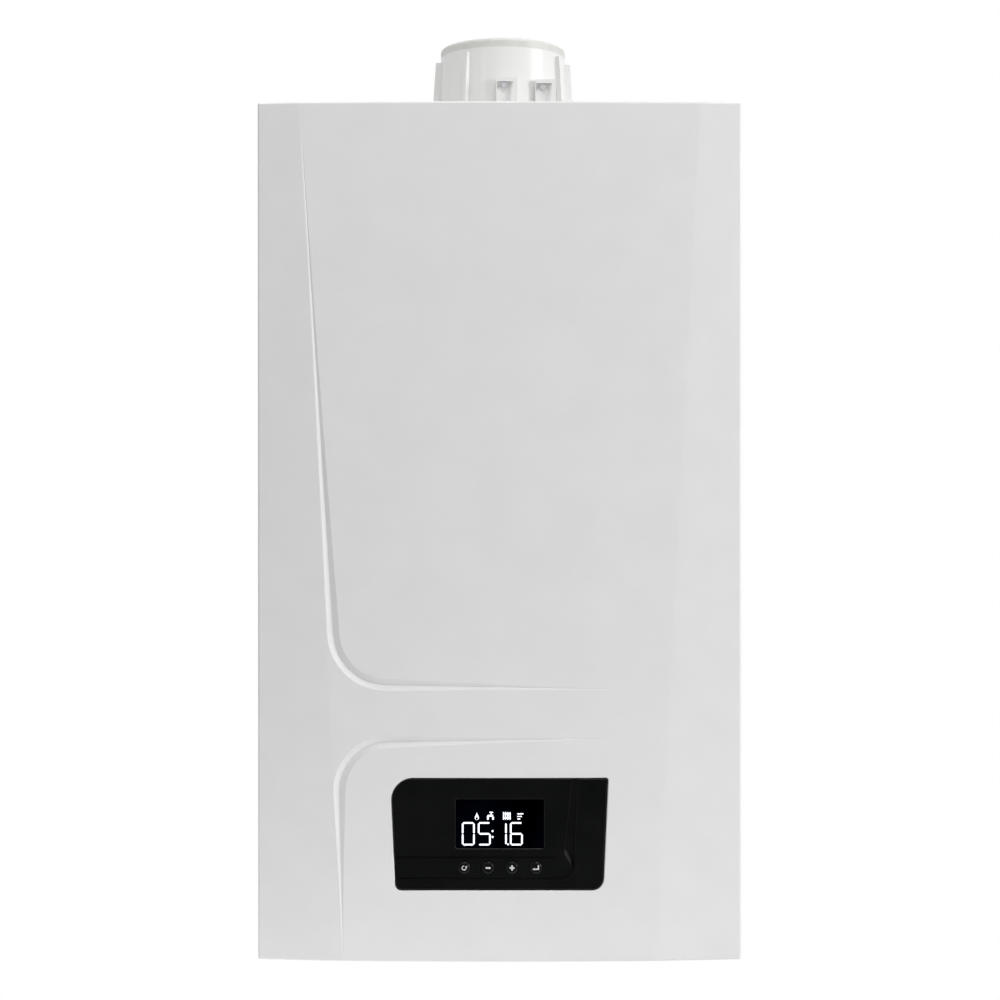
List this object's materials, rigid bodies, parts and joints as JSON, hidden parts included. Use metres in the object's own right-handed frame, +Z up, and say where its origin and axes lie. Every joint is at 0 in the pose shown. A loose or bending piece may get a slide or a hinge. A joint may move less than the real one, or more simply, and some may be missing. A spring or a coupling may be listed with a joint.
{
  "type": "wall-hung condensing gas boiler",
  "caption": "White wall-hung condensing combination gas boiler: crowned steel front cover with pressed grooves, black control fascia with display and buttons, flue collar on top.",
  "frame": {"origin": "midway between the two hanging slots, on the wall face of the back frame", "axes": "+X to the right seen from the front, +Y into the wall, +Z up"},
  "size_m": [0.395, 0.285, 0.7998],
  "materials": {
    "white_powder_coat": "satin",
    "galvanised_steel": "satin",
    "zinc_screw": "satin",
    "seal_foam": "matt",
    "black_abs": "semi-gloss",
    "button_black": "semi-gloss",
    "display_acrylic": "gloss",
    "green_board": "satin",
    "grey_abs": "matt",
    "white_pp": "gloss",
    "grey_epdm": "matt",
    "flue_pp": "satin",
    "cast_aluminium": "cast",
    "stainless": "satin",
    "white_ceramic": "matt",
    "black_pp": "matt",
    "grey_drain": "matt",
    "motor_black": "satin",
    "copper": "satin",
    "brass": "satin",
    "hydraulic_composite": "matt",
    "red_plastic": "semi-gloss",
    "pump_casting": "painted",
    "red_vessel": "semi-gloss",
    "steel_hose": "braided",
    "black_rubber": "matt"
  },
  "bodies": {
    "boiler": {"left_side_panel": "white_powder_coat", "right_side_panel": "white_powder_coat", "top_panel": "white_powder_coat", "back_frame": "galvanised_steel", "bottom_panel": "galvanised_steel", "hinge_brackets": "galvanised_steel", "exchanger_rails": "galvanised_steel", "casing_screws": "zinc_screw", "front_seal": "seal_foam", "diverter_actuator": "grey_abs", "flue_adaptor": "white_pp", "air_seal_ring": "grey_epdm", "inner_flue_socket": "flue_pp", "flue_duct": "flue_pp", "heat_exchanger": "cast_aluminium", "burner_hood": "cast_aluminium", "fan_housing": "cast_aluminium", "gas_valve": "cast_aluminium", "burner": "stainless", "plate_exchanger": "stainless", "ignition_electrode": "white_ceramic", "condensate_sump": "black_pp", "condensate_trap": "black_pp", "air_silencer": "black_pp", "venturi": "black_pp", "condensate_drain": "grey_drain", "cable_glands": "grey_drain", "fan_motor": "motor_black", "pump_motor": "motor_black", "gas_pipe": "copper", "gas_injector_pipe": "copper", "flow_pipe": "copper", "return_pipe": "copper", "heating_tails": "copper", "water_tails": "copper", "air_vent": "brass", "relief_valve": "brass", "diverter_block": "hydraulic_composite", "return_block": "hydraulic_composite", "pump_body": "pump_casting", "expansion_vessel": "red_vessel", "vessel_hose": "steel_hose", "pipe_grommets": "black_rubber"},
    "cover": {"front_cover": "white_powder_coat", "cover_screws": "zinc_screw"},
    "control_panel": {"control_fascia": "black_abs", "display_window": "display_acrylic", "display_board": "green_board", "control_box": "grey_abs", "control_lid": "grey_abs", "control_board": "green_board"},
    "reset_key": {"reset_button": "button_black"},
    "minus_key": {"minus_button": "button_black"},
    "plus_key": {"plus_button": "button_black"},
    "enter_key": {"enter_button": "button_black"},
    "flue_cap": {"flue_test_cap": "white_pp"},
    "air_cap": {"air_test_cap": "white_pp"},
    "fan_wheel": {"fan_impeller": "black_pp"},
    "pump_wheel": {"pump_impeller": "black_pp"},
    "relief_handle": {"relief_knob": "red_plastic"}
  },
  "joints": [
    {"name": "cover_slide", "type": "slide", "parent": "boiler", "child": "cover", "axis": [0, -1, 0], "range_m": [0, 0.4]},
    {"name": "panel_tilt", "type": "hinge", "parent": "boiler", "child": "control_panel", "pos_m": [0, -0.2282, -0.593], "axis": [1, 0, 0], "range_deg": [0, 80]},
    {"name": "reset_press", "type": "slide", "parent": "control_panel", "child": "reset_key", "axis": [0, 1, 0], "range_m": [0, 0.0012], "stiffness_N_per_m": 400},
    {"name": "minus_press", "type": "slide", "parent": "control_panel", "child": "minus_key", "axis": [0, 1, 0], "range_m": [0, 0.0012], "stiffness_N_per_m": 400},
    {"name": "plus_press", "type": "slide", "parent": "control_panel", "child": "plus_key", "axis": [0, 1, 0], "range_m": [0, 0.0012], "stiffness_N_per_m": 400},
    {"name": "enter_press", "type": "slide", "parent": "control_panel", "child": "enter_key", "axis": [0, 1, 0], "range_m": [0, 0.0012], "stiffness_N_per_m": 400},
    {"name": "flue_cap_pull", "type": "slide", "parent": "boiler", "child": "flue_cap", "axis": [0, -1, 0], "range_m": [0, 0.02]},
    {"name": "air_cap_pull", "type": "slide", "parent": "boiler", "child": "air_cap", "axis": [0, -1, 0], "range_m": [0, 0.02]},
    {"name": "fan_spin", "type": "hinge", "parent": "boiler", "child": "fan_wheel", "pos_m": [0.119, -0.162, -0.105], "axis": [0, 1, 0], "continuous": true},
    {"name": "pump_spin", "type": "hinge", "parent": "boiler", "child": "pump_wheel", "pos_m": [0.065, -0.107, -0.464], "axis": [0, 1, 0], "continuous": true},
    {"name": "relief_turn", "type": "hinge", "parent": "boiler", "child": "relief_handle", "pos_m": [0.032, -0.148, -0.57], "axis": [0, -1, 0], "range_deg": [0, 90]}
  ],
  "couplings": [
    {"joint": "panel_tilt", "follows": "cover_slide", "rad_per_m": 3.49}
  ]
}
